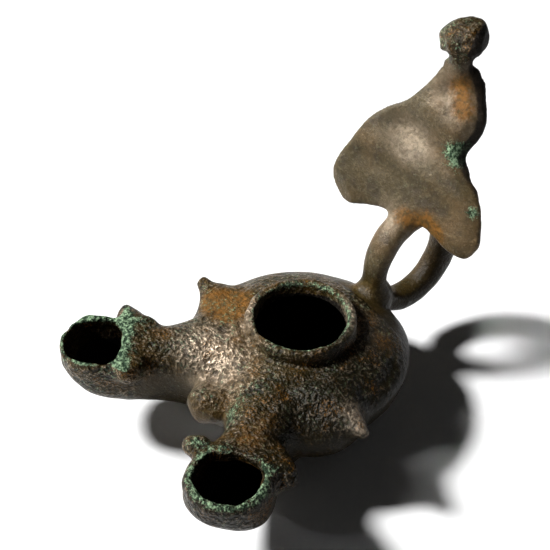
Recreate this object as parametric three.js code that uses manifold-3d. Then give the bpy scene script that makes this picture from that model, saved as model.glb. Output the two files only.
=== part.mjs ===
// A Roman bronze oil lamp with two nozzles, cast in one piece. Millimetres and degrees, +Z up.
// It stands on z = 0 with its nozzles towards -Y and its ring handle towards +Y, and the foot's centre
// is the origin.
import * as THREE from 'three';
import { mergeVertices } from 'three/addons/utils/BufferGeometryUtils.js';
import Module from 'manifold-3d';

const wasm = await Module();
wasm.setup();

// Bowl, foot and filling hole. Heights named UP are above the bowl's widest place.
const WALL = 2.4;
const BOWL_RADIUS = 34.5;
const BOWL_DEPTH = 22;
const FOOT_STAND = 1;
const BOWL_EQUATOR = FOOT_STAND + BOWL_DEPTH;
const DOME_RISE = 13.2;
const DOME_POWER = 1.7;
const FOOT_RADIUS = 17;
const FOOT_EDGE = 0.8;
const FILL_RADIUS = 14;
const COLLAR_BEAD = 1.7;
const COLLAR_STAND = 1.8;
const COLLAR_TOP = BOWL_EQUATOR + DOME_RISE + COLLAR_STAND;

// Nozzles: each runs out from the lamp's axis, turned to one side of the front. Places named AT are along it.
const NOZZLE_REACH = 39.3;
const NOZZLE_TIP = BOWL_RADIUS + NOZZLE_REACH;
const HEAD_ROUND = 10.8;
const HEAD_AT = NOZZLE_TIP - HEAD_ROUND;
const NECK_OUT = 8.5;
const NECK_AT = BOWL_RADIUS + NECK_OUT;
const NECK_HALF = 10;
const NECK_UP = 10.2;
const NECK_TOP = BOWL_EQUATOR + NECK_UP;
const RIM_STAND = 2;
const NOZZLE_RIM = NECK_TOP + RIM_STAND;
const ROOT_IN = 14.5;
const ROOT_AT = BOWL_RADIUS - ROOT_IN;
const ROOT_HALF = 16;
const KEEL_ROOT = 4.5;
const NECK_SQUARENESS = 2.3;
const HEAD_SQUARENESS = 3.7;
const WIDEST_DOWN = 0.45;
const TIP_LIFT = 0.55;
const TIP_UNDERCUT = 0.62;
const TIP_BLUNT = 0.004;
const MOUTH_DEEP = 9;
const MOUTH_TAPER = 0.8;
const MOUTH_BACK_POWER = 0.55;
const KNOB_BACK = 9.6;
const KNOB_AT = HEAD_AT - KNOB_BACK;
const KNOB_RADIUS = 3;
const KNOB_STUB = 1.4;
const NOZZLES = [
  {
    side: -1, turn: 33.5, half: 11.4, deep: 19.4, mouthLong: 18.2, rimFront: 1.3, rimSide: 2.6,
    knobs: [{ outward: -1, stand: 1.8, drop: 4, trail: 3 }, { outward: 1, stand: 1.8, drop: 4.6, trail: 7 }],
  },
  {
    side: 1, turn: 31, half: 12.1, deep: 18, mouthLong: 16.8, rimFront: 3.2, rimSide: 2.6,
    knobs: [{ outward: -1, stand: 1.8, drop: 4, trail: 3 }, { outward: 1, stand: 2.4, drop: 6.2, trail: 7 }],
  },
];

// Ears at the shoulder, each with a web towards its nozzle, and the lobe between the nozzles
const EARS = [
  { side: -1, turn: 76.5, stand: 6, up: 6.5, web: 1.5 },
  { side: 1, turn: 75, stand: 8.5, up: 4.4, web: 6 },
];
const EAR_TIP_RADIUS = 1.5;
const EAR_ROOT_IN = 9.5;
const EAR_ROOT = BOWL_RADIUS - EAR_ROOT_IN;
const EAR_ROOT_UP = 2;
const EAR_ROOT_WIDE = 13;
const EAR_ROOT_FORWARD = 5;
const EAR_ROOT_RISE = 6;
const EAR_ROOT_FALL = 9.6;
const EAR_TAPER = 1.35;
const WEB_TURN = 18;
const WEB_IN = 4;
const WEB_UP = -1.5;
const WEB_LONG = 14;
const WEB_TALL = 7.5;
const WEB_SIDES = 14;
const LOBE_OUT = 3.1;
const LOBE_UP = 0.8;
const LOBE_ASIDE = 0.8;
const LOBE_WIDE = 6.8;
const LOBE_RADIUS = 5.4;

// Ring handle, whose hole starts at the bowl's side
const RING_INNER = 12.3;
const RING_BACK = BOWL_RADIUS + RING_INNER;
const RING_UP = 12.8;
const RING_HEIGHT = BOWL_EQUATOR + RING_UP;
const RING_STRETCH = 1.08;
const RING_THICK = 6.2;
const RING_BACK_EXTRA = 2.6;
const RING_WIDE = 8.8;
const RING_SQUARENESS = 2.8;
const RING_ROOT_IN = 3;
const RING_ROOT_UP = 4.5;
const RING_ROOT_RADIUS = 6.4;

// Leaf plate on the ring, and the ball on the leaf's tip
const LEAF_AHEAD = 5.3;
const LEAF_SINK = 0.8;
const LEAF_LEAN = 22;
const LEAF_YAW = 17;
const LEAF_LENGTH = 51;
const LEAF_HALF = 26.8;
const LEAF_THICK = 2.8;
const LEAF_DISH = 1.6;
const LEAF_ROLL = 3.5;
const ROLL_START_UP = 0.3;
const ROLL_FULL_UP = 0.5;
const ROLL_START_OUT = 0.6;
const EDGE_THINNING = 0.5;
const EDGE_POWER = 8;
const LEAF_HUB_UP = 0.25;
const LEAF_SHARES = [0.05, 0.35, 0.65, 0.85, 1];
// The leaf's outline as [across, up] shares of its half width and length: two lobes below, a drawn-out tip.
const LEAF_OUTLINE = [
  [-0.15, 1], [-0.24, 0.88], [-0.42, 0.71], [-0.63, 0.61], [-0.8, 0.48], [-0.96, 0.25], [-1.01, 0.08],
  [-0.93, -0.04], [-0.72, -0.08], [-0.45, -0.03], [-0.24, 0], [0, -0.02], [0.26, 0], [0.45, -0.03],
  [0.74, -0.08], [0.92, -0.05], [0.98, 0.06], [0.86, 0.24], [0.65, 0.37], [0.45, 0.47], [0.43, 0.56],
  [0.49, 0.7], [0.39, 0.84], [0.16, 1],
];
const BALL_WIDE = 7.2;
const BALL_TALL = 6.5;
const BALL_LIFT = 7.6;
const BALL_ASIDE = -2;
const STEM_RADIUS = 3.6;
const STEM_TALL = 5;
const STEM_LIFT = 0.5;
const STEM_ASIDE = -0.8;

// How finely each form is divided, around it and along it
const TURN = Math.PI / 180;
const QUARTER = Math.PI / 2;
const BOWL_SIDES = 42;
const HOLLOW_SIDES = 34;
const BOWL_STEPS = 8;
const DOME_STEPS = 6;
const BEAD_STEPS = 4;
const HOLLOW_BOWL_STEPS = 7;
const HOLLOW_DOME_STEPS = 5;
const LIP_STEPS = 3;
const NOZZLE_SIDES = 20;
const NOZZLE_STEPS = 13;
const HOLLOW_NOZZLE_SIDES = 16;
const HOLLOW_NOZZLE_STEPS = 9;
const NOZZLE_SPREAD = 0.9;
const MOUTH_SIDES = 28;
const EAR_SIDES = 14;
const EAR_STEPS = 7;
const RING_SIDES = 28;
const RING_SECTION_SIDES = 12;
const LEAF_SIDES = 52;
const BALL_SIDES = 16;
const KNOB_SIDES = 12;
const BALL_BANDS = 0.6;

/** A solid from a closed three.js geometry. */
function solid(geometry) {
  const plain = geometry.clone();
  plain.deleteAttribute('normal');
  plain.deleteAttribute('uv');
  const merged = mergeVertices(plain, 1e-4);
  return new wasm.Manifold(new wasm.Mesh({
    numProp: 3,
    vertProperties: new Float32Array(merged.attributes.position.array),
    triVerts: new Uint32Array(merged.index.array),
  }));
}

/** A closed skin over rings of equally many points, each end closed by a fan about its middle. */
function skin(rings) {
  const points = [];
  const faces = [];
  const count = rings[0].length;
  rings.forEach((ring) => ring.forEach((p) => points.push(p.x, p.y, p.z)));
  for (let i = 0; i + 1 < rings.length; i += 1) {
    for (let j = 0; j < count; j += 1) {
      const a = i * count + j;
      const b = i * count + ((j + 1) % count);
      faces.push(a, b, b + count, a, b + count, a + count);
    }
  }
  [0, rings.length - 1].forEach((row) => {
    const middle = rings[row].reduce((sum, p) => sum.add(p), new THREE.Vector3()).divideScalar(count);
    const hub = points.length / 3;
    points.push(middle.x, middle.y, middle.z);
    for (let j = 0; j < count; j += 1) {
      const a = row * count + j;
      const b = row * count + ((j + 1) % count);
      faces.push(...(row === 0 ? [hub, b, a] : [hub, a, b]));
    }
  });
  const geometry = new THREE.BufferGeometry();
  geometry.setAttribute('position', new THREE.Float32BufferAttribute(points, 3));
  geometry.setIndex(faces);
  return geometry;
}

/** A profile of [radius, height] pairs turned about Z. */
function turned(profile, segments) {
  const geometry = new THREE.LatheGeometry(profile.map(([r, z]) => new THREE.Vector2(r, z)), segments);
  return geometry.rotateX(QUARTER);
}

/** Values of a function at equal steps from the first share to 1. */
const along = (steps, from, value) => Array.from(
  { length: steps + 1 - from }, (_, i) => value((i + from) / steps));

/** One coordinate of a superellipse: a signed power of a cosine or a sine. */
const corner = (wave, power) => Math.sign(wave) * Math.abs(wave) ** (2 / power);

/** A smooth step from 0 at the first place to 1 at the second. */
const ease = (from, to, at) => THREE.MathUtils.smoothstep(at, from, to);

/** A value on the straight way from one to another. */
const blend = (from, to, share) => THREE.MathUtils.lerp(from, to, share);

/** The direction out from the lamp's axis at a turn from the front, and the one across it, both level. */
function bearing(turn, side) {
  const angle = turn * TURN;
  return {
    out: new THREE.Vector3(side * Math.sin(angle), -Math.cos(angle), 0),
    across: new THREE.Vector3(Math.cos(angle), side * Math.sin(angle), 0),
  };
}

/** A point so far along a bearing, so far across it and so high. */
const spot = (way, at, across, height) => way.out.clone().multiplyScalar(at)
  .addScaledVector(way.across, across).setZ(height);

/** A superellipse ring square to a bearing, so far out, about a middle height. */
function ringAcross(way, { at, half, middle, rise, fall, squareness, count }) {
  return Array.from({ length: count }, (_, j) => {
    const angle = (j / count) * 4 * QUARTER;
    const up = corner(Math.sin(angle), squareness);
    return spot(way, at, half * corner(Math.cos(angle), squareness), middle + up * (up > 0 ? rise : fall));
  });
}

/** The dome's profile from its greatest radius in to a smaller one: a superellipse above the equator. */
function dome(radius, rise, inner, steps) {
  const end = Math.acos((inner / radius) ** (DOME_POWER / 2));
  return along(steps, 1, (share) => [
    radius * corner(Math.cos(end * share), DOME_POWER),
    BOWL_EQUATOR + rise * corner(Math.sin(end * share), DOME_POWER),
  ]);
}

/** The bowl below its equator, from a start angle up: part of an ellipse. */
const under = (radius, depth, start, steps) => along(steps, 0, (share) => [
  radius * Math.cos(start * (1 - share)), BOWL_EQUATOR - depth * Math.sin(start * (1 - share))]);

/** The bowl with its foot, dome and the raised bead of the collar. */
function bowlOuter() {
  const middle = FILL_RADIUS + COLLAR_BEAD;
  return solid(turned([
    [0, 0],
    [FOOT_RADIUS - FOOT_EDGE, 0],
    [FOOT_RADIUS, FOOT_EDGE],
    ...under(BOWL_RADIUS, BOWL_DEPTH, Math.acos(FOOT_RADIUS / BOWL_RADIUS), BOWL_STEPS),
    ...dome(BOWL_RADIUS, DOME_RISE, middle + COLLAR_BEAD, DOME_STEPS),
    ...along(BEAD_STEPS, 0, (share) => [
      middle + COLLAR_BEAD * Math.cos(share * QUARTER),
      COLLAR_TOP - COLLAR_BEAD * (1 - Math.sin(share * QUARTER)),
    ]),
    [0, COLLAR_TOP],
  ], BOWL_SIDES));
}

/** The hollow of the bowl, with the filling hole that opens it through the collar's round lip. */
function bowlHollow() {
  const inside = BOWL_RADIUS - WALL;
  const depth = BOWL_DEPTH - WALL;
  return solid(turned([
    [0, BOWL_EQUATOR - depth],
    ...under(inside, depth, QUARTER, HOLLOW_BOWL_STEPS).slice(1),
    ...dome(inside, DOME_RISE - WALL, FILL_RADIUS, HOLLOW_DOME_STEPS),
    ...along(LIP_STEPS, 0, (share) => [
      FILL_RADIUS + COLLAR_BEAD * (1 - Math.cos(share * QUARTER)),
      COLLAR_TOP - COLLAR_BEAD * (1 - Math.sin(share * QUARTER)),
    ]),
    [FILL_RADIUS + COLLAR_BEAD, COLLAR_TOP + WALL],
    [0, COLLAR_TOP + WALL],
  ], HOLLOW_SIDES));
}

/** A nozzle's skin, or its hollow where inset is the wall: wide root, neck, and a head with a round end. */
function nozzleBody(nozzle, inset) {
  const way = bearing(nozzle.turn, nozzle.side);
  const tip = NOZZLE_TIP - inset;
  const steps = inset > 0 ? HOLLOW_NOZZLE_STEPS : NOZZLE_STEPS;
  return solid(skin(along(steps, 0, (share) => {
    const at = blend(ROOT_AT, tip, Math.sin(share * QUARTER) ** NOZZLE_SPREAD);
    return nozzleRing(way, at, tip, nozzle, inset);
  })));
}

/** One ring of a nozzle, so far out from the lamp's axis. */
function nozzleRing(way, at, tip, nozzle, inset) {
  const flare = 1 - ease(ROOT_AT, NECK_AT, at);
  const head = ease(NECK_AT, HEAD_AT, at);
  const half = NECK_HALF + (ROOT_HALF - NECK_HALF) * flare + (nozzle.half - NECK_HALF) * head - inset;
  const past = Math.max((at - HEAD_AT) / (tip - HEAD_AT), 0);
  const round = Math.sqrt(Math.max(1 - past ** 2, TIP_BLUNT));
  const top = blend(NECK_TOP, NOZZLE_RIM, head) - inset;
  const sweep = (at - ROOT_AT) / (HEAD_AT - ROOT_AT);
  const keel = blend(KEEL_ROOT, NOZZLE_RIM - nozzle.deep, sweep ** 2) + inset;
  const widest = blend(top, keel, WIDEST_DOWN);
  const lift = (top - widest) * (1 - round) * TIP_LIFT;
  return ringAcross(way, {
    at,
    half: half * round,
    middle: widest + lift,
    rise: top - widest - lift,
    fall: (widest + lift - keel) * round ** TIP_UNDERCUT,
    squareness: blend(NECK_SQUARENESS, HEAD_SQUARENESS, head),
    count: inset > 0 ? HOLLOW_NOZZLE_SIDES : NOZZLE_SIDES,
  });
}

/** The wick hole: round in front, squarer behind, cut from the nozzle's hollow out through the rim. */
function mouthCut({ side, turn, half, mouthLong, rimFront, rimSide }) {
  const way = bearing(turn, side);
  const long = mouthLong / 2;
  const wide = half - rimSide;
  const middle = NOZZLE_TIP - rimFront - long;
  const levels = [[NOZZLE_RIM - MOUTH_DEEP, MOUTH_TAPER], [NOZZLE_RIM, 1], [NOZZLE_RIM + WALL, 1]];
  return solid(skin(levels.map(([height, share]) => Array.from({ length: MOUTH_SIDES }, (_, j) => {
    const angle = (j / MOUTH_SIDES) * 4 * QUARTER;
    const wave = Math.cos(angle);
    const reach = wave > 0 ? wave : -(Math.abs(wave) ** MOUTH_BACK_POWER);
    return spot(way, middle + long * share * reach, wide * share * Math.sin(angle), height);
  }))));
}

/** A ball, stretched along the lamp's directions and turned about Z, such as a knob or the finial. */
function ball(centre, radii, turn, sides) {
  const geometry = new THREE.SphereGeometry(1, sides, Math.round(sides * BALL_BANDS)).rotateX(QUARTER);
  geometry.scale(...radii).rotateZ(turn).translate(centre.x, centre.y, centre.z);
  return solid(geometry);
}

/** The two knobs beside a wick hole, each a ball out of the nozzle's side, some with a trail to the body. */
function knobs({ side, turn, half, knobs: places }) {
  const way = bearing(turn, side);
  return places.map(({ outward, stand, drop, trail }) => {
    const across = side * outward * (half + stand - KNOB_STUB);
    const centre = spot(way, KNOB_AT - (trail - KNOB_RADIUS) / 2, across, NOZZLE_RIM - drop);
    const radii = [KNOB_RADIUS + KNOB_STUB, (KNOB_RADIUS + trail) / 2, KNOB_RADIUS];
    return ball(centre, radii, side * turn * TURN, KNOB_SIDES);
  });
}

/** A pointed ear on the shoulder, with hollow sides that widen into the bowl, most towards the nozzle. */
function ear({ side, turn, stand, up }) {
  const way = bearing(turn, side);
  const rings = along(EAR_STEPS, 0, (share) => {
    const taper = (1 - share) ** EAR_TAPER;
    const ring = ringAcross(way, {
      at: blend(EAR_ROOT, BOWL_RADIUS + stand, share),
      half: blend(EAR_TIP_RADIUS, EAR_ROOT_WIDE, taper),
      middle: BOWL_EQUATOR + blend(EAR_ROOT_UP, up, share),
      rise: blend(EAR_TIP_RADIUS, EAR_ROOT_RISE, taper),
      fall: blend(EAR_TIP_RADIUS, EAR_ROOT_FALL, taper),
      squareness: 2,
      count: EAR_SIDES,
    });
    return ring.map((point) => point.addScaledVector(way.across, -side * EAR_ROOT_FORWARD * taper));
  });
  return solid(skin(rings));
}

/** The web from an ear's foot towards its nozzle: a long low swelling of the bowl's side. */
function earWeb({ side, turn, web }) {
  const toNozzle = turn - WEB_TURN;
  const centre = spot(bearing(toNozzle, side), BOWL_RADIUS - WEB_IN, 0, BOWL_EQUATOR + WEB_UP);
  return ball(centre, [WEB_LONG, WEB_IN + web, WEB_TALL], side * toNozzle * TURN, WEB_SIDES);
}

/** The low round lobe in the fork of the nozzles. */
function lobe() {
  const centre = new THREE.Vector3(LOBE_ASIDE, -BOWL_RADIUS - LOBE_OUT, BOWL_EQUATOR + LOBE_UP);
  return ball(centre, [LOBE_WIDE, LOBE_RADIUS, LOBE_RADIUS], 0, BALL_SIDES);
}

/** The ring handle in the lamp's middle plane: flat-sided, taller than deep, and thickest at its back. */
function ringHandle() {
  const section = along(RING_SECTION_SIDES, 0, (share) => new THREE.Vector2(
    RING_INNER + (RING_THICK / 2) * (1 + corner(Math.cos(share * 4 * QUARTER), RING_SQUARENESS)),
    (RING_WIDE / 2) * corner(Math.sin(share * 4 * QUARTER), RING_SQUARENESS),
  ));
  const geometry = new THREE.LatheGeometry(section, RING_SIDES).rotateZ(-QUARTER);
  const place = geometry.attributes.position;
  for (let i = 0; i < place.count; i += 1) {
    const back = place.getY(i);
    const radius = Math.hypot(back, place.getZ(i));
    const outward = (radius - RING_INNER) / RING_THICK;
    const swell = 1 + (outward * RING_BACK_EXTRA * (1 + back / radius)) / 2 / radius;
    place.setY(i, back * swell);
    place.setZ(i, place.getZ(i) * swell * RING_STRETCH);
  }
  return solid(geometry.translate(0, RING_BACK, RING_HEIGHT));
}

/** The swelling where the ring grows out of the bowl. */
function ringRoot() {
  const centre = new THREE.Vector3(0, BOWL_RADIUS - RING_ROOT_IN, BOWL_EQUATOR + RING_ROOT_UP);
  return ball(centre, [RING_ROOT_RADIUS, RING_ROOT_RADIUS, RING_ROOT_RADIUS], 0, KNOB_SIDES);
}

// The leaf's own directions: across it to its right, up it, and out of its front face.
const leafAcross = new THREE.Vector3(Math.cos(LEAF_YAW * TURN), Math.sin(LEAF_YAW * TURN), 0);
const leafUp = new THREE.Vector3(0, Math.sin(LEAF_LEAN * TURN), Math.cos(LEAF_LEAN * TURN));
leafAcross.addScaledVector(leafUp, -leafAcross.dot(leafUp)).normalize();
const leafFront = new THREE.Vector3().crossVectors(leafAcross, leafUp);
const ringTop = RING_HEIGHT + (RING_INNER + RING_THICK) * RING_STRETCH;
const leafFoot = new THREE.Vector3(0, RING_BACK - LEAF_AHEAD, ringTop - LEAF_SINK);

/** A point of the leaf: across and up it, and in front of its middle. */
const onLeaf = (across, up, front) => leafFoot.clone()
  .addScaledVector(leafAcross, across).addScaledVector(leafUp, up).addScaledVector(leafFront, front);

/** The leaf as a thick sheet over its outline, dished, its right edge rolled back below the tip. */
function leaf() {
  const corners = LEAF_OUTLINE.map(
    ([across, up]) => new THREE.Vector3(across * LEAF_HALF, up * LEAF_LENGTH, 0));
  const edge = new THREE.CatmullRomCurve3(corners, true).getPoints(LEAF_SIDES).slice(0, LEAF_SIDES);
  const hub = new THREE.Vector3(0, LEAF_LENGTH * LEAF_HUB_UP, 0);
  const ring = (share, face) => edge.map((point) => {
    const place = hub.clone().lerp(point, share);
    const high = ease(ROLL_START_UP, ROLL_FULL_UP, point.y / LEAF_LENGTH);
    const rolled = point.x > 0 ? high * ease(ROLL_START_OUT, 1, share) * LEAF_ROLL : 0;
    const dished = LEAF_DISH * (place.x / LEAF_HALF) ** 2;
    const thick = (LEAF_THICK / 2) * (1 - EDGE_THINNING * share ** EDGE_POWER);
    return onLeaf(place.x, place.y, dished - rolled + face * thick);
  });
  const back = LEAF_SHARES.map((share) => ring(share, -1));
  const front = LEAF_SHARES.map((share) => ring(share, 1)).reverse();
  return solid(skin([...back, ...front]));
}

/** The ball on the leaf's tip and the short stem under it. */
function finial() {
  const neck = onLeaf(STEM_ASIDE, LEAF_LENGTH + STEM_LIFT, 0);
  const head = onLeaf(BALL_ASIDE, LEAF_LENGTH + BALL_LIFT, 0);
  return ball(neck, [STEM_RADIUS, STEM_RADIUS, STEM_TALL], 0, KNOB_SIDES)
    .add(ball(head, [BALL_WIDE, BALL_WIDE, BALL_TALL], 0, BALL_SIDES));
}

/** The whole lamp, joined as it was cast, less the hollows of its bowl and nozzles. */
function casting() {
  const outside = [
    ...EARS.map(ear),
    ...EARS.map(earWeb),
    ...NOZZLES.map((nozzle) => nozzleBody(nozzle, 0)),
    ...NOZZLES.flatMap(knobs),
    lobe(),
    ringRoot(),
    ringHandle(),
    leaf(),
    finial(),
  ];
  const hollows = [
    bowlHollow(),
    ...NOZZLES.map((nozzle) => nozzleBody(nozzle, WALL)),
    ...NOZZLES.map(mouthCut),
  ];
  const whole = outside.reduce((body, form) => body.add(form), bowlOuter());
  return hollows.reduce((body, hollow) => body.subtract(hollow), whole);
}

/** A named mesh of a finished solid. */
function piece(name, body, material) {
  const { vertProperties, triVerts } = body.getMesh();
  const geometry = new THREE.BufferGeometry();
  geometry.setAttribute('position', new THREE.BufferAttribute(new Float32Array(vertProperties), 3));
  geometry.setIndex(new THREE.BufferAttribute(new Uint32Array(triVerts), 1));
  const mesh = new THREE.Mesh(geometry, material);
  mesh.name = name;
  return mesh;
}

const bronze = new THREE.MeshStandardMaterial({ color: 0x3f3524, roughness: 0.5, metalness: 0.7 });
const lamp = new THREE.Group();
lamp.add(piece('lamp_casting', casting(), bronze));
export default lamp;
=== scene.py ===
"""Dresses a Roman bronze oil lamp: one corroded casting with two nozzles, a ring handle, a leaf and a ball.

The casting is one surface, worked out as a field of signed distances in millimetres: every form of the lamp
gives its own distance, the forms run into each other with soft joints as they do in a casting, and the
surface where the field is zero becomes the mesh.
"""
import logging
import math
from dataclasses import dataclass, field
from enum import Enum
from typing import Any, Sequence

import bpy
import numpy as np
from mathutils import Matrix, Vector


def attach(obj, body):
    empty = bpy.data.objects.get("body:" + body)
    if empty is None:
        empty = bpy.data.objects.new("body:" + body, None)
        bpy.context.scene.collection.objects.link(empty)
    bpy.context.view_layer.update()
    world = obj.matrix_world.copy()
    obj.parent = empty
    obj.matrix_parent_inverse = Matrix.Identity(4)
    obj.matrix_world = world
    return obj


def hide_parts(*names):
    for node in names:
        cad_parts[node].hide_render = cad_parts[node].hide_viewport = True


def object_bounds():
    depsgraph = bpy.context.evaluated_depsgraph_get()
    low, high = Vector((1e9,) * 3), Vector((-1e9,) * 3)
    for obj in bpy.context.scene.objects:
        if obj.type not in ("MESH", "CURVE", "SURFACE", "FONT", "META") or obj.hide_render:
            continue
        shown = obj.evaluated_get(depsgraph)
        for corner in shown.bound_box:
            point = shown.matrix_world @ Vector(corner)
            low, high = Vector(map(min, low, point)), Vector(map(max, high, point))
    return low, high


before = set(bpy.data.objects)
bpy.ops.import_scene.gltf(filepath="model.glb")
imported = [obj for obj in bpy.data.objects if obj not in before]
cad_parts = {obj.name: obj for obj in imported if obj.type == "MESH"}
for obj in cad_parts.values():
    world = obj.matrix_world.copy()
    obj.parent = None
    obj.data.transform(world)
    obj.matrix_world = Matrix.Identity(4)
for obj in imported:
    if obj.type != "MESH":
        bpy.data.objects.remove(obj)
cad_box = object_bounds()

LOG = logging.getLogger("lamp")
MM = 0.001
LEAST_SLOPE = 1e-3
SPLINE_GAIN = 3.0
NODE = "lamp_casting"
BODY = "root"
Array = np.ndarray
Triple = tuple[float, float, float]


def cad_limits() -> tuple[Array, Array]:
    """The lower and upper corner of the CAD model's box, in millimetres."""
    low, high = (np.array(corner) / MM for corner in cad_box)
    return low, high


def towards(azimuth: float, elevation: float) -> Vector:
    """The unit vector to a place seen from the lamp, by degrees from the front and degrees up."""
    a, e = math.radians(azimuth), math.radians(elevation)
    return Vector((math.sin(a) * math.cos(e), -math.cos(a) * math.cos(e), math.sin(e)))


def placed(name: str, data: Any) -> bpy.types.Object:
    """Makes an object of a mesh, light or camera and puts it in the scene."""
    thing = bpy.data.objects.new(name, data)
    bpy.context.scene.collection.objects.link(thing)
    return thing


def smooth(low: float, high: float, at: Array) -> Array:
    """A smooth step, 3t^2 - 2t^3 of the clipped share t, from 0 at low to 1 at high."""
    share = np.clip((at - low) / (high - low), 0, 1)
    return share * share * (3 - 2 * share)


def soft_min(a: Array, b: Array, blend: float) -> Array:
    """The lesser of two fields, rounded over a width: min(a, b) - blend/4 * max(1 - |a - b|/blend, 0)^2."""
    gap = np.maximum(1 - np.abs(a - b) / blend, 0)
    return np.minimum(a, b) - blend / 4 * gap * gap


def soft_max(a: Array, b: Array, blend: float) -> Array:
    """The greater of two fields, rounded over a width."""
    return -soft_min(-a, -b, blend)


def axes_of(turn: float, side: int) -> tuple[Array, Array]:
    """The level directions out from the lamp's axis at a turn from the front, and across it.

    Args:
        turn: Degrees from the front.
        side: -1 for the left, 1 for the right.

    Returns:
        The unit vectors (side sin, -cos, 0) and (cos, side sin, 0).
    """
    angle = math.radians(turn)
    out = np.array([side * math.sin(angle), -math.cos(angle), 0.0])
    across = np.array([math.cos(angle), side * math.sin(angle), 0.0])
    return out, across


@dataclass
class Block:
    """A box of the grid's points: its slices and its coordinates, which broadcast against each other."""

    part: tuple[slice, slice, slice]
    x: Array
    y: Array
    z: Array
    step: float

    def gap(self, centre: Sequence[float]) -> Array:
        """The distance of each point to a centre."""
        return np.sqrt((self.x - centre[0]) ** 2 + (self.y - centre[1]) ** 2 + (self.z - centre[2]) ** 2)

    def along(self, way: Sequence[float], origin: Sequence[float] = (0, 0, 0)) -> Array:
        """How far each point lies along a direction: (p - origin) . way."""
        return ((self.x - origin[0]) * way[0] + (self.y - origin[1]) * way[1]
                + (self.z - origin[2]) * way[2])

    def level(self, values: Array) -> Array:
        """Makes a distance of a field that is 1 on a form's skin, to first order: (g - 1) / |grad g|.

        Args:
            values: The field, under 1 inside the form.

        Returns:
            The signed distance in millimetres, negative inside.
        """
        slopes = np.gradient(values, self.step)
        steep = np.sqrt(sum(slope * slope for slope in slopes))
        return (values - 1) / np.maximum(steep, LEAST_SLOPE)

    def ball(self, centre: Sequence[float], radii: Sequence[float], power: float = 2.0) -> Array:
        """Works out a ball with three radii: the p-norm of (p - centre)/radii, made a distance.

        Args:
            centre: The ball's middle.
            radii: Its radii along x, y and z.
            power: The norm's p, 2 for an ellipsoid and less for a ball with corners.

        Returns:
            The signed distance in millimetres, negative inside.
        """
        norm = (np.abs((self.x - centre[0]) / radii[0]) ** power
                + np.abs((self.y - centre[1]) / radii[1]) ** power
                + np.abs((self.z - centre[2]) / radii[2]) ** power)
        return self.level(norm ** (1 / power))


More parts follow.
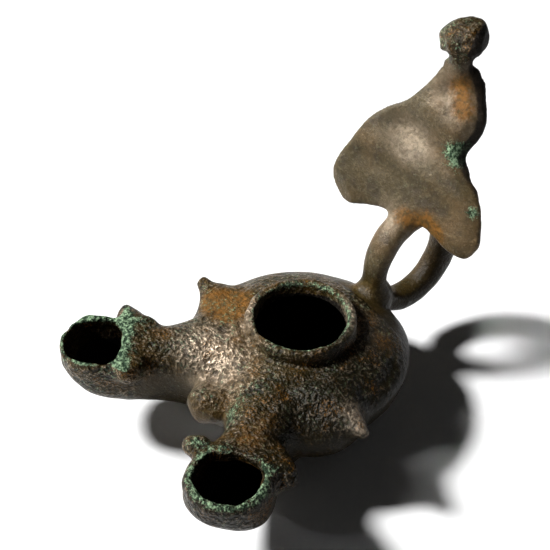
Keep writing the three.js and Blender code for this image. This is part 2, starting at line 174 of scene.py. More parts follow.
@dataclass
class Volume:
    """A grid of signed distances, negative inside the bronze, in millimetres."""

    low: Array
    high: Array
    step: float
    far: float = 9.0
    flattest: float = 0.05
    lines: list[Array] = field(init=False)
    values: Array = field(init=False)

    def __post_init__(self) -> None:
        """Lays out the grid's lines and starts with empty space."""
        counts = np.ceil((self.high - self.low) / self.step).astype(int) + 1
        self.lines = [(self.low[a] + self.step * np.arange(counts[a])).astype(np.float32) for a in range(3)]
        self.values = np.full(counts, self.far, np.float32)

    def block(self, low: Sequence[float] | None = None, high: Sequence[float] | None = None) -> Block:
        """Takes a box out of the grid.

        Args:
            low: The box's lower corner, or None for the grid's own.
            high: Its upper corner, or None for the grid's own.

        Returns:
            The points between the two corners, at least two along each line.
        """
        parts = []
        for axis, line in enumerate(self.lines):
            start = 0 if low is None else int(np.searchsorted(line, low[axis]))
            stop = len(line) if high is None else int(np.searchsorted(line, high[axis]))
            parts.append(slice(start, max(stop, start + 2)))
        x, y, z = (self.lines[a][parts[a]] for a in range(3))
        return Block(tuple(parts), x[:, None, None], y[None, :, None], z[None, None, :], self.step)

    def around(self, low: Sequence[float], high: Sequence[float], margin: float) -> Block:
        """The points of the grid between two corners, with a margin all round."""
        return self.block(np.asarray(low) - margin, np.asarray(high) + margin)

    def join(self, block: Block, distance: Array, blend: float) -> None:
        """Adds a form to the bronze with a fillet."""
        self.values[block.part] = soft_min(self.values[block.part], distance, blend)

    def carve(self, block: Block, distance: Array, blend: float) -> None:
        """Cuts a form out of the bronze with a rounded edge."""
        self.values[block.part] = soft_max(self.values[block.part], -distance, blend)

    def noise(self, cell: float, seed: int) -> Array:
        """Smooth random lumps of unit spread: cubic B-spline sums over a lattice of seeded random numbers.

        Args:
            cell: The lattice's step in millimetres.
            seed: The seed of its numbers.

        Returns:
            One value for each point of the grid.
        """
        rng = np.random.default_rng(seed)
        weights = []
        for line in self.lines:
            place = (line - line[0]) / cell + 2
            count = int(place[-1]) + 4
            gap = np.abs(place[:, None] - np.arange(count)[None, :])
            near = 2 / 3 - gap ** 2 + gap ** 3 / 2
            wide = np.maximum(2 - gap, 0) ** 3 / 6
            weights.append(np.where(gap < 1, near, wide).astype(np.float32))
        lattice = rng.standard_normal([w.shape[1] for w in weights]).astype(np.float32)
        for axis in range(3):
            lattice = np.moveaxis(np.tensordot(weights[axis], lattice, axes=(1, axis)), 0, axis)
        return lattice * SPLINE_GAIN

    def surface(self) -> tuple[Array, Array]:
        """Makes faces of the surface where the field is zero, one vertex for each cell that it crosses.

        Each vertex starts at the mean of the crossings of its cell's edges, p0 + (p1 - p0) v0/(v0 - v1), and
        each crossed edge of the grid gives one face between the four cells around it.

        Returns:
            The vertices in millimetres and the four-sided faces, facing outwards.
        """
        values = self.values
        inside = values < 0
        shape = np.array(values.shape) - 1
        corners = [(i, j, k) for i in (0, 1) for j in (0, 1) for k in (0, 1)]
        count = sum(inside[i:shape[0] + i, j:shape[1] + j, k:shape[2] + k].astype(np.int8)
                    for i, j, k in corners)
        active = (count > 0) & (count < 8)
        index = np.full(active.shape, -1, np.int32)
        index[active] = np.arange(int(active.sum()))
        cells = np.argwhere(active)
        total = np.zeros(cells.shape)
        hits = np.zeros(len(cells))
        for axis in range(3):
            step = np.eye(3, dtype=int)[axis]
            for corner in (c for c in corners if c[axis] == 0):
                start = cells + corner
                end = start + step
                a = values[tuple(start.T)]
                b = values[tuple(end.T)]
                crossed = (a < 0) != (b < 0)
                share = np.where(crossed, a / np.where(crossed, a - b, 1), 0)
                total += np.where(crossed[:, None], np.array(corner) + share[:, None] * step, 0)
                hits += crossed
        points = self.low + (cells + total / hits[:, None]) * self.step
        faces = []
        for axis in range(3):
            side_b, side_c = (axis + 1) % 3, (axis + 2) % 3
            here = [slice(1, -1)] * 3
            here[axis] = slice(0, -1)
            there = list(here)
            there[axis] = slice(1, None)
            first, second = inside[tuple(here)], inside[tuple(there)]
            for outward in (True, False):
                edge = np.argwhere((first & ~second) if outward else (~first & second))
                edge[:, side_b] += 1
                edge[:, side_c] += 1
                b, c = np.eye(3, dtype=int)[side_b], np.eye(3, dtype=int)[side_c]
                quad = [index[tuple((edge - move).T)] for move in (0 * b, b, b + c, c)]
                faces.append(np.stack(quad if outward else quad[::-1], axis=1))
        return points, np.concatenate(faces)

    def sample(self, values: Array, points: Array) -> Array:
        """Reads a field between the grid's points, from the eight values around, weighed by nearness.

        Args:
            values: The field on the whole grid.
            points: Where it is wanted, in millimetres.

        Returns:
            One value for each point.
        """
        place = (points - self.low) / self.step
        base = np.clip(np.floor(place).astype(int), 0, np.array(values.shape) - 2)
        share = place - base
        result = np.zeros(len(points))
        for i in (0, 1):
            for j in (0, 1):
                for k in (0, 1):
                    weight = (np.abs(1 - i - share[:, 0]) * np.abs(1 - j - share[:, 1])
                              * np.abs(1 - k - share[:, 2]))
                    result += weight * values[base[:, 0] + i, base[:, 1] + j, base[:, 2] + k]
        return result

    def settle(self, points: Array, faces: Array, rounds: int) -> Array:
        """Evens the vertices out along the surface.

        Each round moves a vertex half way to its neighbours' mean, then twice back towards the surface along
        the field's slope, p - f grad f / |grad f|^2, by one step of the grid at most.

        Args:
            points: The vertices.
            faces: The faces, whose edges say which vertices are neighbours.
            rounds: How often this is done.

        Returns:
            The moved vertices.
        """
        slopes = np.gradient(self.values, self.step)
        ends = np.concatenate([faces[:, [i, (i + 1) % 4]] for i in range(4)])
        near = np.bincount(ends[:, 0], minlength=len(points))
        for _ in range(rounds):
            sums = [np.bincount(ends[:, 0], points[ends[:, 1], a], len(points)) for a in range(3)]
            mean = np.stack(sums, 1)
            points = points + 0.5 * (mean / near[:, None] - points)
            for _again in range(2):
                value = self.sample(self.values, points)
                slope = np.stack([self.sample(s, points) for s in slopes], 1)
                length = np.maximum((slope * slope).sum(1), self.flattest)
                shift = np.clip(value / length, -self.step, self.step)
                points = points - shift[:, None] * slope
        return points


@dataclass
class Bowl:
    """The round body: a bowl and a dome on a disc foot, with a beaded collar around the filling hole."""

    radius: float = 34.5
    depth: float = 22.0
    equator: float = 23.0
    rise: float = 13.2
    power: float = 1.7
    foot_radius: float = 17.0
    foot_tall: float = 4.0
    fill_radius: float = 14.0
    collar_top: float = 38.0
    bead: float = 1.7
    groove: float = 0.75
    wall: float = 2.4
    groove_out: float = 0.7
    groove_up: float = 0.35
    crease: float = 4.0
    crease_at: float = 32.9
    crease_height: float = 30.5
    crease_front: tuple[float, float] = (-4.0, 5.0)
    crease_back: tuple[float, float] = (14.0, 22.0)
    crease_fade: float = 9.0
    lip: float = 1.0
    body_blend: float = 0.5
    foot_blend: float = 2.0
    edge_blend: float = 0.8
    groove_blend: float = 0.6

    def shell(self, block: Block, inset: float) -> Array:
        """Works out the bowl's skin: an ellipse of revolution below, a superellipse above.

        Below the equator g = sqrt((r/a)^2 + (h/b)^2), and above it g = ((r/a)^p + (h/c)^p)^(1/p).

        Args:
            block: The points of the grid.
            inset: How far inside the outer skin, 0 for the skin itself.

        Returns:
            The signed distance in millimetres, negative inside.
        """
        radius = np.hypot(block.x, block.y)
        wide = radius / (self.radius - inset)
        height = block.z - self.equator
        low = np.sqrt(wide ** 2 + (height / (self.depth - inset)) ** 2)
        tall = np.abs(height) / (self.rise - inset)
        high = (wide ** self.power + tall ** self.power) ** (1 / self.power)
        return block.level(np.where(height < 0, low, high))

    def form(self, volume: Volume) -> None:
        """Adds the bowl and the foot to the volume.

        Args:
            volume: The grid.
        """
        block = volume.block()
        radius = np.hypot(block.x, block.y)
        volume.join(block, self.shell(block, 0), self.body_blend)
        foot = np.maximum(radius - self.foot_radius, np.abs(block.z) - self.foot_tall / 2)
        volume.join(block, foot, self.foot_blend)

    def collar(self, volume: Volume) -> None:
        """Adds the collar's bead on its neck to the volume and cuts the groove around it.

        Args:
            volume: The grid.
        """
        block = volume.block()
        radius = np.hypot(block.x, block.y)
        middle = self.fill_radius + self.bead
        crest = self.collar_top - self.bead
        bead = np.hypot(radius - middle, block.z - crest) - self.bead
        below = np.abs(block.z - crest + self.bead) - self.bead
        neck = np.maximum(np.abs(radius - middle) - self.bead, below)
        outer = middle + self.bead + self.groove_out
        deck = self.equator + self.rise * (1 - (outer / self.radius) ** self.power) ** (1 / self.power)
        volume.join(block, np.minimum(bead, neck), self.edge_blend)
        groove = np.hypot(radius - outer, block.z - deck - self.groove_up) - self.groove
        volume.carve(block, groove, self.groove_blend)

    def shoulder(self, volume: Volume) -> None:
        """Cuts the crease along the right shoulder into the volume, an arc of a level circle.

        Args:
            volume: The grid.
        """
        block = volume.block((18, -14, 20), (40, 26, 34))
        radius = np.hypot(block.x, block.y)
        run = smooth(*self.crease_front, block.y) * (1 - smooth(*self.crease_back, block.y))
        gap = np.hypot(radius - self.crease_at, block.z - self.crease_height)
        volume.carve(block, gap - self.crease + self.crease_fade * (1 - run), self.edge_blend)

    def hollow(self, block: Block) -> Array:
        """Works out the bowl's hollow together with the filling hole.

        Args:
            block: The points of the grid.

        Returns:
            The signed distance in millimetres, negative in the hollow.
        """
        radius = np.hypot(block.x, block.y)
        hole = np.maximum(radius - self.fill_radius, self.equator - block.z)
        return soft_min(self.shell(block, self.wall), hole, self.edge_blend)


@dataclass
class Knob:
    """A ball on a stub at a nozzle's side, drawn out towards the body in a trail that sinks into it."""

    outward: int
    stand: float
    drop: float
    radius: float = 3.2
    trail: float = 3.2
    sink: float = 0.0
    stub: float = 1.4
    blend: float = 2.0


@dataclass
class Nozzle:
    """A nozzle turned to one side: a wide root, a neck and a cup-shaped head with a wick hole."""

    side: int
    turn: float
    half: float
    deep: float
    mouth_long: float
    rim_front: float
    rim_side: float
    aside: float
    knobs: list[Knob]
    tip: float = 73.8
    head_at: float = 63.0
    neck_at: float = 43.0
    root_at: float = 20.0
    neck_half: float = 10.0
    root_half: float = 16.0
    neck_top: float = 33.2
    rim: float = 35.2
    keel_root: float = 4.5
    knob_at: float = 53.4
    widest_down: float = 0.45
    lip: float = 1.1
    wall: float = 2.4
    inner_crust: float = 1.7
    crust_behind: float = 2.0
    crust_long: float = 5.0
    root_power: float = 2.3
    rim_squarer: float = 3.2
    keel_squarer: float = 0.6
    mouth_deep: float = 9.0
    mouth_foot: float = 0.8
    back_power: float = 3.6
    body_blend: float = 3.0
    hole_blend: float = 0.8

    def __post_init__(self) -> None:
        """Works out the nozzle's own level directions."""
        self.out, self.across = axes_of(self.turn, self.side)

    def block(self, volume: Volume) -> Block:
        """Takes the part around the nozzle out of the grid.

        Args:
            volume: The grid.

        Returns:
            Its points within a spread of the nozzle's middle line.
        """
        reach = self.out * (self.tip + 4)
        spread = 24
        low = np.minimum(0, reach) - spread
        high = np.maximum(0, reach) + spread
        return volume.block((low[0], low[1], -5), (high[0], min(high[1], 12), 45))

    def spot(self, at: float, across: float, height: float) -> Array:
        """A point so far along the nozzle, so far across it and so high."""
        return self.out * at + self.across * across + np.array([0, 0, height])

    def body(self, block: Block, inset: float) -> Array:
        """Works out the nozzle's skin.

        With s across and t along, plan = sqrt((s/half)^2 + past^2) where past runs from 0 at the head's
        middle to 1 at its tip, and g = (plan^p + |v|^p)^(1/p), v being the height over the section's
        widest place as a share of its rise or fall. The power p is low under the neck, and high at the rim.

        Args:
            block: The points of the grid.
            inset: How far inside the outer skin, 0 for the skin itself.

        Returns:
            The signed distance in millimetres, negative inside.
        """
        along = block.along(self.out)
        lateral = block.along(self.across)
        flare = 1 - smooth(self.root_at, self.neck_at, along)
        head = smooth(self.neck_at, self.head_at, along)
        root, cup = (self.root_half - self.neck_half) * flare, (self.half - self.neck_half) * head
        half = self.neck_half + root + cup - inset
        tip = self.tip - inset
        past = np.clip((along - self.head_at) / (tip - self.head_at), 0, None)
        plan = np.sqrt((lateral / half) ** 2 + past ** 2)
        top = self.neck_top + (self.rim - self.neck_top) * head - inset
        if inset > 0:
            behind = (along - self.knob_at + self.crust_behind) / self.crust_long
            top = top - self.inner_crust * np.exp(-behind ** 2)
        sweep = np.clip((along - self.root_at) / (self.head_at - self.root_at), 0, 1.3)
        keel = self.keel_root + (self.rim - self.deep - self.keel_root) * sweep ** 2 + inset
        widest = top - (top - keel) * self.widest_down
        height = block.z - widest
        tall = np.abs(height) / np.where(height > 0, top - widest, widest - keel)
        power = np.where(height > 0, self.root_power + self.rim_squarer * head,
                         self.root_power + self.keel_squarer * head)
        values = (plan ** power + tall ** power) ** (1 / power)
        return np.maximum(block.level(values), self.root_at - along)

    def form(self, volume: Volume) -> None:
        """Adds the nozzle and its knobs to the volume, each knob an ellipsoid with two half-lengths.

        Args:
            volume: The grid.
        """
        block = self.block(volume)
        volume.join(block, self.body(block, 0), self.body_blend)
        for knob in self.knobs:
            outward = knob.outward * self.side
            side = outward * (self.half + knob.stand - knob.stub)
            centre = self.spot(self.knob_at, side, self.rim - knob.drop)
            near = volume.around(centre, centre, 16)
            along = near.along(self.out, centre)
            lateral = near.along(self.across, centre) - outward * knob.sink * np.minimum(along, 0)
            values = np.sqrt((along / np.where(along < 0, knob.trail, knob.radius)) ** 2
                             + (lateral / (knob.radius + knob.stub)) ** 2
                             + ((near.z - centre[2]) / knob.radius) ** 2)
            volume.join(near, near.level(values), knob.blend)

    def mouth(self, block: Block) -> Array:
        """Works out the wick hole: an ellipse in front and a squarer end behind, narrowing as it goes down.

        Args:
            block: The points of the grid.

        Returns:
            The signed distance in millimetres, negative in the hole.
        """
        long = self.mouth_long / 2
        middle = self.tip - self.rim_front - long
        wide = self.half - self.rim_side
        opened = smooth(self.rim - self.mouth_deep, self.rim, block.z)
        taper = self.mouth_foot + (1 - self.mouth_foot) * opened
        along = (block.along(self.out) - middle) / (long * taper)
        lateral = np.abs(block.along(self.across) - self.aside) / (wide * taper)
        power = np.where(along > 0, 2.0, self.back_power)
        values = (np.abs(along) ** power + lateral ** 2 * np.ones_like(power)) ** 0.5
        return np.maximum(block.level(values), self.rim - self.mouth_deep - 1 - block.z)

    def hollow(self, block: Block) -> Array:
        """The signed distance to the nozzle's hollow with its wick hole."""
        return soft_min(self.body(block, self.wall), self.mouth(block), self.hole_blend)


@dataclass
class Ear:
    """A pointed ear on the shoulder, its sides hollowed so that it widens into the bowl."""

    side: int
    turn: float
    reach: float
    height: float
    tip_radius: float = 2.0
    root: float = 25.0
    root_height: float = 25.0
    root_wide: float = 13.0
    root_rise: float = 6.0
    root_fall: float = 9.6
    forward: float = 5.0
    hollowing: float = 1.25
    point_blend: float = 1.0
    root_blend: float = 4.5
    web: float = 5.5
    web_turn: float = 18.0
    web_middle: float = 30.5
    web_height: float = 21.5
    web_long: float = 14.0
    web_tall: float = 7.5
    web_blend: float = 4.0

    def skirt(self, volume: Volume) -> None:
        """Adds the web from the ear's foot towards its nozzle, a long low ellipsoid in the bowl's side.

        Args:
            volume: The grid.
        """
        out, across = axes_of(self.turn - self.web_turn, self.side)
        middle = out * self.web_middle + np.array([0, 0, self.web_height])
        block = volume.around(middle, middle, 24)
        values = np.sqrt((block.along(across, middle) / self.web_long) ** 2
                         + (block.along(out, middle) / self.web) ** 2
                         + ((block.z - self.web_height) / self.web_tall) ** 2)
        volume.join(block, block.level(values), self.web_blend)

    def form(self, volume: Volume) -> None:
        """Adds the ear to the volume.

        g = sqrt((s/half)^2 + (v/tall)^2), where half and tall shrink to the tip's radius as (1 - share)^h.

        Args:
            volume: The grid.
        """
        out, across = axes_of(self.turn, self.side)
        tip = out * self.reach
        block = volume.block((tip[0] - 24, tip[1] - 22, 10), (tip[0] + 24, tip[1] + 22, 42))
        along = block.along(out)
        share = np.clip((along - self.root) / (self.reach - self.root), 0, 1)
        taper = (1 - share) ** self.hollowing
        lateral = block.along(across) + self.side * self.forward * taper
        half = self.tip_radius + (self.root_wide - self.tip_radius) * taper
        height = block.z - self.root_height - (self.height - self.root_height) * share
        rise = self.tip_radius + (self.root_rise - self.tip_radius) * taper
        fall = self.tip_radius + (self.root_fall - self.tip_radius) * taper
        values = np.sqrt((lateral / half) ** 2 + (height / np.where(height > 0, rise, fall)) ** 2)
        distance = soft_max(block.level(values), along - self.reach, self.point_blend)
        volume.join(block, np.maximum(distance, self.root - 2 - along), self.root_blend)


@dataclass
class Ring:
    """The ring handle in the lamp's middle plane, flat-sided, taller than deep and thickest at its back."""

    back: float = 46.8
    height: float = 35.8
    inner: float = 12.3
    stretch: float = 1.08
    thick: float = 6.2
    back_extra: float = 2.6
    wide: float = 8.8
    power: float = 2.6
    root: Triple = (0.0, 31.5, 27.5)
    root_radius: float = 6.4
    blend: float = 2.5

    def form(self, volume: Volume) -> None:
        """Adds the ring to the volume, g = (|u|^p + |v|^p)^(1/p) over its section, and its swollen root.

        Args:
            volume: The grid.
        """
        block = volume.block((-12, 20, 8), (12, 78, 64))
        back = block.y - self.back
        up = (block.z - self.height) / self.stretch
        radius = np.maximum(np.hypot(back, up), 1e-3)
        thick = self.thick + self.back_extra * (1 + back / radius) / 2
        section = (radius - self.inner - thick / 2) / (thick / 2)
        side = np.abs(block.x) / (self.wide / 2)
        values = (np.abs(section) ** self.power + side ** self.power) ** (1 / self.power)
        volume.join(block, block.level(values), self.blend)
        volume.join(block, block.ball(self.root, (self.root_radius,) * 3), self.blend)


@dataclass
class Leaf:
    """The leaf plate: a dished sheet over a two-lobed outline, its right edge rolled back and crusted."""

    foot: Triple = (0.0, 41.5, 55.0)
    lean: float = 22.0
    yaw: float = 17.0
    length: float = 51.0
    half: float = 26.8
    thick: float = 2.8
    dish: float = 1.6
    roll: float = 3.4
    band: float = 5.0
    wave: float = 1.5
    wave_start: float = 15.7
    wave_long: float = 19.0
    wave_slant: float = 0.25
    thin_edge: float = 0.35
    back_roll: float = 1.2
    flat_roll: float = 0.3
    low_roll: float = 0.45
    roll_fade: tuple[float, float] = (0.25, 0.5)
    roll_right: tuple[float, float] = (0.5, 4.0)
    wave_above: tuple[float, float] = (8.0, 18.0)
    wave_inside: tuple[float, float] = (0.0, 8.0)
    edge_blend: float = 1.2
    blend: float = 2.5
    outline: tuple[tuple[float, float], ...] = (
        (-0.15, 1), (-0.24, 0.88), (-0.42, 0.71), (-0.63, 0.61), (-0.8, 0.48), (-0.96, 0.25), (-1.01, 0.08),
        (-0.93, -0.04), (-0.72, -0.08), (-0.45, -0.03), (-0.24, 0), (0, -0.02), (0.26, 0), (0.45, -0.03),
        (0.74, -0.08), (0.92, -0.05), (0.98, 0.06), (0.86, 0.24), (0.65, 0.37), (0.45, 0.47), (0.43, 0.56),
        (0.49, 0.7), (0.39, 0.84), (0.16, 1),
    )

    def __post_init__(self) -> None:
        """Works out the leaf's own directions: across it to its right, up it, and out of its front."""
        yaw, lean = math.radians(self.yaw), math.radians(self.lean)
        self.up = np.array([0, math.sin(lean), math.cos(lean)])
        level = np.array([math.cos(yaw), math.sin(yaw), 0])
        across = level - self.up * (level @ self.up)
        self.across = across / np.linalg.norm(across)
        self.front = np.cross(self.across, self.up)

    def spot(self, across: float, up: float, front: float = 0.0) -> Array:
        """A point of the leaf, in millimetres across it, up it and out of its front."""
        return np.array(self.foot) + self.across * across + self.up * up + self.front * front

    def edge(self, pieces: int = 6) -> Array:
        """Runs a smooth outline through its points, each stretch a Catmull-Rom cubic.

        Args:
            pieces: How many points each stretch gets.

        Returns:
            The outline's points in millimetres across and up the leaf.
        """
        knots = np.array(self.outline) * (self.half, self.length)
        before, after, last = (np.roll(knots, shift, axis=0) for shift in (1, -1, -2))
        t = (np.arange(pieces) / pieces)[None, :, None]
        a, b, c, d = (k[:, None, :] for k in (before, knots, after, last))
        curve = 0.5 * (2 * b + (c - a) * t + (2 * a - 5 * b + 4 * c - d) * t ** 2
                       + (3 * b - a - 3 * c + d) * t ** 3)
        return curve.reshape(-1, 2)

    def depth(self, across: Array, up: Array) -> Array:
        """Works out how far inside the outline each point is.

        The distance to the nearest of the outline's straight stretches is worked out on a fine flat
        lattice, with the sign of a point in a polygon, and read off between the lattice's points.

        Args:
            across: The points' places across the leaf.
            up: Their places up the leaf.

        Returns:
            The depth of each point in millimetres, negative outside.
        """
        edge = self.edge()
        start, end = edge, np.roll(edge, -1, axis=0)
        low, step = np.array([-36.0, -12.0]), 0.4
        lines = [low[i] + step * np.arange(n) for i, n in enumerate((180, 190))]
        points = np.stack(np.meshgrid(*lines, indexing="ij"), -1)[:, :, None, :]
        along = end - start
        share = np.clip(((points - start) * along).sum(-1) / (along ** 2).sum(-1), 0, 1)
        gap = np.linalg.norm(points - start - share[..., None] * along, axis=-1).min(-1)
        spans = (start[:, 1] > points[..., 1]) != (end[:, 1] > points[..., 1])
        rate = (end[:, 0] - start[:, 0]) / np.where(end[:, 1] == start[:, 1], 1, end[:, 1] - start[:, 1])
        right = points[..., 0] < start[:, 0] + (points[..., 1] - start[:, 1]) * rate
        table = np.where((spans & right).sum(-1) % 2 == 1, gap, -gap)
        i = np.clip((across - low[0]) / step, 0, len(lines[0]) - 1.001)
        j = np.clip((up - low[1]) / step, 0, len(lines[1]) - 1.001)
        i0, j0 = i.astype(int), j.astype(int)
        fi, fj = i - i0, j - j0
        return ((table[i0, j0] * (1 - fj) + table[i0, j0 + 1] * fj) * (1 - fi)
                + (table[i0 + 1, j0] * (1 - fj) + table[i0 + 1, j0 + 1] * fj) * fi)

    def band_share(self, across: Array, up: Array, inner: Array) -> Array:
        """Works out the rolled band along the right edge.

        Args:
            across: The points' places across the leaf.
            up: Their places up the leaf.
            inner: How far inside the outline they are.

        Returns:
            A share for each point, the greatest at the edge, and 0 once a band's width inside it.
        """
        high = self.low_roll + (1 - self.low_roll) * smooth(*self.roll_fade, up / self.length)
        return high * (1 - smooth(0, self.band, inner)) * smooth(*self.roll_right, across)

    def block(self, volume: Volume) -> Block:
        """The points of the grid around the leaf."""
        return volume.block((-34, 34, 44), (38, 78, 114))

    def form(self, volume: Volume) -> None:
        """Adds the sheet to the volume: the larger of its distance to the outline and to its faces.

        Args:
            volume: The grid.
        """
        block = self.block(volume)
        across = block.along(self.across, self.foot)
        up = block.along(self.up, self.foot)
        front = block.along(self.front, self.foot)
        inner = self.depth(across, up)
        band = self.band_share(across, up, inner)
        phase = (up + self.wave_slant * across - self.wave_start) / self.wave_long
        wave = self.wave * np.cos(2 * np.pi * phase)
        wave = wave * smooth(*self.wave_above, up) * smooth(*self.wave_inside, inner)
        middle = self.dish * (across / self.half) ** 2 - self.roll * band + wave
        half = self.thick / 2 * (1 - self.thin_edge * np.exp(-np.maximum(inner, 0) / 2))
        front_face = front - middle - half
        back_face = middle - half - self.back_roll * band - front
        sheet = np.maximum(front_face, back_face) * (1 - self.flat_roll * band)
        volume.join(block, soft_max(sheet, -inner, self.edge_blend), self.blend)


@dataclass
class Finial:
    """The rough ball on the leaf's tip, with the short stem under it."""

    leaf: Leaf
    lift: float = 7.6
    aside: float = -2.0
    wide: float = 7.2
    tall: float = 6.5
    power: float = 1.85
    stem_lift: float = 0.5
    stem_aside: float = -0.8
    stem_radius: float = 3.6
    stem_tall: float = 5.0
    stem_blend: float = 2.5
    ball_blend: float = 1.2

    def form(self, volume: Volume) -> None:
        """Adds the stem and the ball to the volume.

        Args:
            volume: The grid.
        """
        stem = self.leaf.spot(self.stem_aside, self.leaf.length + self.stem_lift)
        ball = self.leaf.spot(self.aside, self.leaf.length + self.lift)
        block = volume.block(stem - 14, ball + 12)
        radii = (self.stem_radius, self.stem_radius, self.stem_tall)
        volume.join(block, block.ball(stem, radii), self.stem_blend)
        volume.join(block, block.ball(ball, (self.wide, self.wide, self.tall), self.power), self.ball_blend)


@dataclass
class Lobe:
    """The low round lobe in the fork of the nozzles."""

    centre: Triple = (0.8, -37.6, 23.8)
    radii: Triple = (6.8, 5.4, 5.4)
    blend: float = 5.5

    def form(self, volume: Volume) -> None:
        """Adds the lobe to the volume.

        Args:
            volume: The grid.
        """
        block = volume.around(self.centre, self.centre, 14)
        volume.join(block, block.ball(self.centre, self.radii), self.blend)


class Tint(Enum):
    """What a mask on the casting stands for."""

    CRUST = "crust"
    OCHRE = "ochre"
    SHADE = "shade"
    # Wear, and painted highlights on the leaf, the left deck, the right ear, the collar's lip and the ring
    BARE_AND_PAINTED_HIGHLIGHT = "bare_and_painted_highlight"
    # Darker patina, and painted shade on the right of the body, low on it and under the left nozzle
    DARK_PATINA_AND_PAINTED_SHADE = "deep"
    COARSE = "coarse"


@dataclass(frozen=True)
class Patch:
    """A soft-edged round patch on the casting, in millimetres."""

    centre: Triple
    radius: float
    strength: float = 1.0

    def weigh(self, points: Array) -> Array:
        """The patch's strength at points: exp(-(distance/radius)^2)."""
        gap = np.linalg.norm(points - np.array(self.centre), axis=1) / self.radius
        return self.strength * np.exp(-gap * gap)


PATCHES: dict[Tint, tuple[Patch, ...]] = {
    Tint.OCHRE: (
        # The left ear's foot and the deck beside it
        Patch((-27, -12, 31), 6.5), Patch((-19, -13, 33), 6), Patch((-22, -6, 32), 5, 0.7),
        # The leaf's foot, its right ridge and the ball
        Patch((1, 42, 55), 4.5), Patch((9, 43, 57), 4, 0.9), Patch((13, 44, 54), 3.5, 0.8),
        Patch((2, 59, 97), 4.5, 0.8), Patch((6, 58, 90), 4.5, 0.8), Patch((3, 62, 110), 3, 0.6),
        # The right nozzle, the right of the body and the fork
        Patch((25, -40, 33), 7, 0.45), Patch((20, 17, 31), 6, 0.5), Patch((3, -20, 33), 7, 0.4),
        Patch((22, -30, 32), 6, 0.35), Patch((-8, -19, 33), 5, 0.45),
    ),
    Tint.SHADE: (
        # Two stains in the ochre, and painted shade on the ball's far side
        Patch((-22.5, -17.5, 31.5), 3.4, 0.55), Patch((-14, -20, 33), 3.4, 0.55),
        Patch((6, 66, 110), 5, 0.8),
    ),
    Tint.CRUST: (
        # The leaf's right edge, the ball, the fork and the necks
        Patch((9, 54, 78), 5), Patch((21, 50, 65), 2.6, 0.9), Patch((-4, 61, 109), 9, 0.5),
        Patch((-14, -32, 26), 8, 0.35), Patch((12, -35, 30), 6, 0.5), Patch((-34, -40, 33), 6, 0.5),
    ),
    Tint.DARK_PATINA_AND_PAINTED_SHADE: (
        # Darker patina on the ball and the left neck; painted shade under the left neck's side and on the
        # right of the body
        Patch((0, 62, 109), 10, 0.8), Patch((-27, -34, 31), 9, 0.35), Patch((-20, -40, 20), 13, 0.4),
        Patch((34, 6, 30), 14, 0.5), Patch((24, -22, 30), 8, 0.4),
    ),
    Tint.BARE_AND_PAINTED_HIGHLIGHT: (
        # Wear on the deck on the left with a painted highlight, and painted highlights in two bands across
        # the leaf
        Patch((-7, -27, 30), 9, 0.7), Patch((-15, -28, 31), 6, 0.5), Patch((-7, 48, 79), 6, 0.35),
        Patch((-3, 49, 76), 5, 0.3), Patch((-1, 56, 94), 5, 0.25), Patch((5, 57, 91), 5, 0.35),
        # Painted highlights on the right ear's ridge, the collar's lip and the ring's shoulder
        Patch((39, -10, 29), 3, 0.6), Patch((35, -9, 31), 3, 0.5), Patch((-12, -10, 37), 6, 0.6),
        Patch((10, 13, 37), 6, 0.5), Patch((-4, 42, 52), 6, 0.5),
    ),
}


@dataclass(frozen=True)
class Corrosion:
    """How the skin is eaten: depths in millimetres for smooth metal and, added to them, for full crust."""

    broad: float = 0.14
    lumps: tuple[float, float] = (0.06, 0.12)
    grains: tuple[float, float] = (0.04, 0.24)
    broad_cell: float = 11.0
    lump_cell: float = 4.6
    grain_cell: float = 2.1
    hollow_lumps: float = 0.05
    mouth_lumps: float = 0.35
    mouth_grains: float = 0.3
    mouth_least: float = -0.3
    head: float = 0.5
    head_from_knob: tuple[float, float] = (-6.0, 4.0)
    head_from_rim: tuple[float, float] = (-5.0, -1.0)
    ball: float = 1.3
    ball_radius: float = 11.0
    ball_up: float = 6.0
    leaf_band: float = 0.6
    ridge_at: tuple[float, float] = (20.0, -26.5)
    ridge_slant: float = 0.36
    ridge_wide: float = 2.2
    ridge_front: tuple[float, float] = (-38.0, -33.0)
    ridge_back: tuple[float, float] = (-20.0, -15.0)
    ridge_above: float = 25.0
    lobe: float = 0.5
    lobe_radius: float = 8.0
    deck: float = 0.35
    deck_height: tuple[float, float] = (26.0, 30.0)
    deck_back: tuple[float, float] = (8.0, 16.0)
    most: float = 1.5


